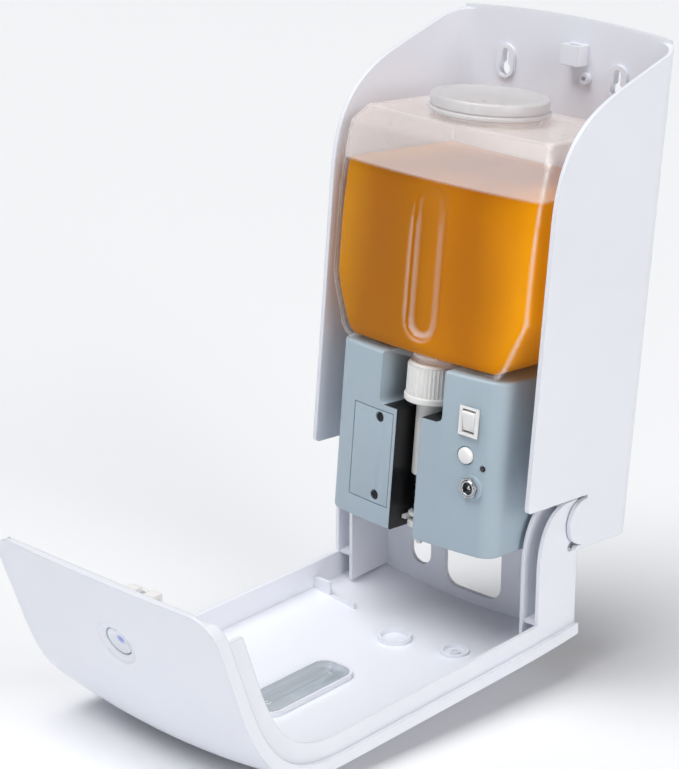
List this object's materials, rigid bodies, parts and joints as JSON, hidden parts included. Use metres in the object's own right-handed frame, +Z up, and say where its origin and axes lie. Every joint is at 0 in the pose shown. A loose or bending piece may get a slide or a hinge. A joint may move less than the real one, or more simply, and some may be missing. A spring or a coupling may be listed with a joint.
{
  "type": "wall mounted soap dispenser",
  "caption": "Touch-free wall soap dispenser with hinged front cover, lift-out bottle and battery drive unit.",
  "frame": {"origin": "on the rear face of the back housing, on its centre line, 120 mm above its lower edge", "axes": "+Y into the wall, +Z up, +X to the right seen from the front"},
  "size_m": [0.136, 0.3014, 0.3139],
  "materials": {
    "cool_white": "fine satin",
    "blue_grey": "satin",
    "soft_white": "satin",
    "clear_plastic": "clear",
    "bottle_plastic": "milky translucent",
    "amber_soap": "liquid",
    "black_plastic": "gloss",
    "steel": "plated",
    "contact_brass": "plain",
    "board": "solder mask",
    "seal_rubber": "silicone",
    "cell_jacket": "printed sleeve, plain"
  },
  "bodies": {
    "housing": {"back_housing": "cool_white", "drive_shell": "blue_grey", "drive_back_plate": "blue_grey", "unit_screw_1": "steel", "unit_screw_2": "steel", "unit_screw_3": "steel", "unit_screw_4": "steel", "cell_tray": "black_plastic", "cell_1": "cell_jacket", "cell_2": "cell_jacket", "cell_3": "cell_jacket", "cell_4": "cell_jacket", "contact_upper": "contact_brass", "contact_lower": "contact_brass", "control_board": "board", "switch_body": "soft_white", "status_led": "black_plastic", "dc_jack": "steel", "dc_jack_nut": "steel", "sensor_lens_left": "black_plastic", "sensor_lens_right": "black_plastic", "gear_motor": "steel"},
    "door": {"battery_door": "blue_grey", "door_screw_upper": "steel", "door_screw_lower": "steel"},
    "rocker": {"power_rocker": "soft_white"},
    "dose": {"dose_button": "soft_white"},
    "lift": {"lift_slider": "soft_white"},
    "pinion": {"rack_pinion": "soft_white"},
    "bottle_body": {"bottle": "bottle_plastic", "soap_fill": "amber_soap", "outlet_cap": "soft_white", "pump_body": "soft_white", "pump_spring": "steel"},
    "piston": {"pump_piston": "soft_white", "drip_tip": "seal_rubber"},
    "refill": {"refill_cap": "soft_white", "refill_seal": "seal_rubber"},
    "cover": {"front_cover": "cool_white", "level_window": "clear_plastic", "hinge_pin_left": "steel", "hinge_pin_right": "steel"},
    "lock": {"lock_button": "soft_white"},
    "latch": {"latch_slider": "soft_white"}
  },
  "joints": [
    {"name": "cover_hinge", "type": "hinge", "parent": "housing", "child": "cover", "pos_m": [0, -0.0491, -0.1187], "axis": [1, 0, 0], "range_deg": [-95.26, 0]},
    {"name": "lock_slide", "type": "slide", "parent": "cover", "child": "lock", "axis": [0, -0.9051, -0.4252], "range_m": [0, 0.0012]},
    {"name": "latch_slide", "type": "slide", "parent": "cover", "child": "latch", "axis": [0, 0.9958, 0.0917], "range_m": [0, 0.004]},
    {"name": "battery_door_pull", "type": "slide", "parent": "housing", "child": "door", "axis": [0, -1, 0], "range_m": [0, 0.02]},
    {"name": "power_rocker_tilt", "type": "hinge", "parent": "housing", "child": "rocker", "pos_m": [0.035, -0.0945, -0.054], "axis": [-1, 0, 0], "range_deg": [0, 9]},
    {"name": "dose_button_press", "type": "slide", "parent": "housing", "child": "dose", "axis": [0, 1, 0], "range_m": [0, 0.0012], "stiffness_N_per_m": 300},
    {"name": "lift_slide", "type": "slide", "parent": "housing", "child": "lift", "axis": [0, 0, 1], "range_m": [0, 0.006]},
    {"name": "pinion_turn", "type": "hinge", "parent": "housing", "child": "pinion", "pos_m": [0, -0.0676, -0.088], "axis": [1, 0, 0], "range_deg": [-49.4, 0]},
    {"name": "bottle_pull", "type": "slide", "parent": "housing", "child": "bottle_body", "axis": [0, -1, 0], "range_m": [0, 0.11]},
    {"name": "pump_stroke", "type": "slide", "parent": "bottle_body", "child": "piston", "axis": [0, 0, 1], "range_m": [0, 0.006], "deforming": ["pump_spring"]},
    {"name": "refill_cap_lift", "type": "slide", "parent": "bottle_body", "child": "refill", "axis": [0, 0, 1], "range_m": [0, 0.025]}
  ],
  "couplings": [
    {"joint": "latch_slide", "follows": "lock_slide", "ratio": 3.3333},
    {"joint": "pinion_turn", "follows": "lift_slide", "rad_per_m": -142.86},
    {"joint": "pump_stroke", "follows": "lift_slide", "ratio": 1}
  ]
}
